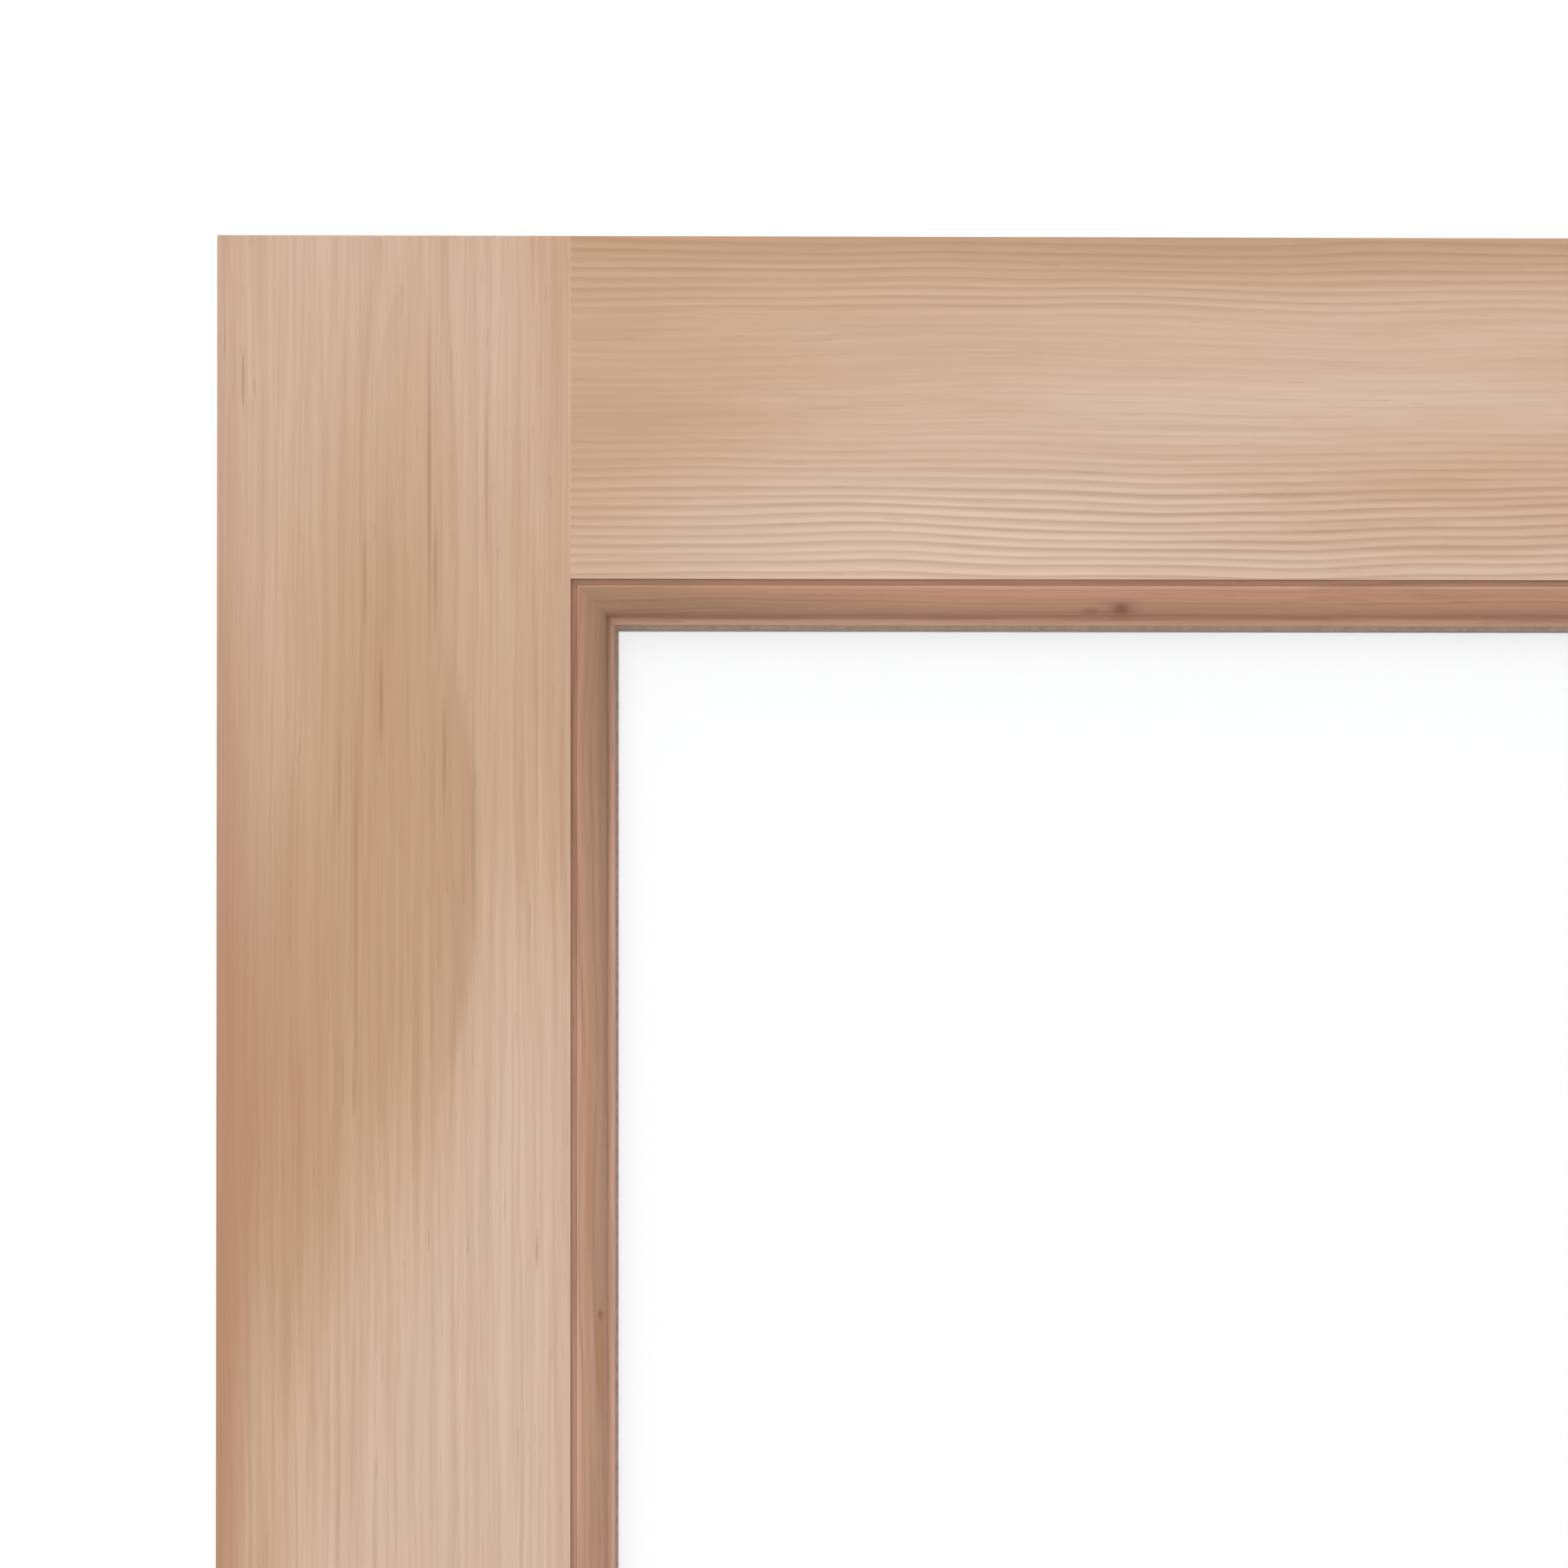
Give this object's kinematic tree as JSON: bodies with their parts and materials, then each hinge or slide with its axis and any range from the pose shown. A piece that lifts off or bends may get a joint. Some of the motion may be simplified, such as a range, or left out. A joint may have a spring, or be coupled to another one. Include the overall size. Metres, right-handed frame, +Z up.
{
  "type": "prehung sauna door",
  "caption": "Glazed stile-and-rail door leaf with mitred beads, hung on butt hinges in a stopped wooden jamb, with a roller catch and wooden pull handles, stored standing open.",
  "frame": {"origin": "middle of the sill's underside, halfway through the jamb's depth", "axes": "+X across the doorway towards the hinges, +Y through it into the hot room, +Z up; the leaf is stored open a quarter turn, standing towards -Y"},
  "size_m": [0.677, 0.7382, 2.079],
  "materials": {
    "stile_wood": "planed pale softwood, unfinished, grain running up the stile",
    "rail_wood": "planed pale softwood, unfinished, grain running along the rail",
    "dowel_wood": "plain hardwood dowel",
    "bead_wood": "moulded redder softwood, unfinished",
    "clear_glass": "clear tempered glass",
    "edge_sealant": "black sealant",
    "spacer_metal": "mill finish spacer bar",
    "glazing_tape": "dark foam tape",
    "setting_block": "black rubber",
    "handle_wood": "sanded softwood",
    "insert_brass": "turned brass",
    "screw_steel": "stainless steel",
    "nail_steel": "plain steel wire",
    "hinge_steel": "satin stainless steel",
    "catch_steel": "satin stainless steel",
    "spring_steel": "drawn spring wire",
    "roller_plastic": "turned nylon",
    "jamb_wood": "planed pale softwood, unfinished",
    "stop_wood": "planed pale softwood, unfinished",
    "sill_wood": "planed softwood, unfinished"
  },
  "bodies": {
    "jamb": {"hinge_jamb": "jamb_wood", "latch_jamb": "jamb_wood", "head_jamb": "jamb_wood", "sill": "sill_wood", "hinge_stop": "stop_wood", "latch_stop": "stop_wood", "head_stop": "stop_wood", "stop_nails": "nail_steel", "head_screws": "screw_steel", "sill_screws": "screw_steel", "strike_plate": "catch_steel", "strike_screws": "screw_steel", "hinge_jamb_screws": "screw_steel", "hinge_top_jamb_plate": "hinge_steel", "hinge_middle_jamb_plate": "hinge_steel", "hinge_bottom_jamb_plate": "hinge_steel", "hinge_top_pin": "hinge_steel", "hinge_middle_pin": "hinge_steel", "hinge_bottom_pin": "hinge_steel"},
    "leaf": {"latch_stile": "stile_wood", "hinge_stile": "stile_wood", "top_rail": "rail_wood", "bottom_rail": "rail_wood", "top_rail_dowels": "dowel_wood", "bottom_rail_dowels": "dowel_wood", "bead_top": "bead_wood", "bead_bottom": "bead_wood", "bead_latch_side": "bead_wood", "bead_hinge_side": "bead_wood", "bead_nails": "nail_steel", "glass_outer_pane": "clear_glass", "glass_inner_pane": "clear_glass", "edge_seal": "edge_sealant", "spacer_frame": "spacer_metal", "glazing_tape_outer": "glazing_tape", "glazing_tape_inner": "glazing_tape", "setting_blocks": "setting_block", "outer_handle": "handle_wood", "inner_handle": "handle_wood", "handle_inserts": "insert_brass", "handle_bolts": "screw_steel", "handle_plugs": "handle_wood", "catch_case": "catch_steel", "catch_screws": "screw_steel", "catch_spring": "spring_steel", "hinge_leaf_screws": "screw_steel", "hinge_top_leaf_plate": "hinge_steel", "hinge_middle_leaf_plate": "hinge_steel", "hinge_bottom_leaf_plate": "hinge_steel"},
    "plunger": {"catch_plunger": "catch_steel", "catch_roller_pin": "screw_steel"},
    "roller": {"catch_roller": "roller_plastic"}
  },
  "joints": [
    {"name": "leaf_swing", "type": "hinge", "parent": "jamb", "child": "leaf", "pos_m": [0.3065, -0.0645, 1.041], "axis": [0, 0, 1], "range_deg": [-90, 80]},
    {"name": "plunger_slide", "type": "slide", "parent": "leaf", "child": "plunger", "axis": [0, 1, 0], "range_m": [0, 0.0045], "stiffness_N_per_m": 1500, "springref_m": -0.004, "deforming": ["catch_spring"]},
    {"name": "roller_spin", "type": "hinge", "parent": "plunger", "child": "roller", "pos_m": [0.27775, -0.6742, 1.041], "axis": [0, 0, 1], "continuous": true}
  ]
}
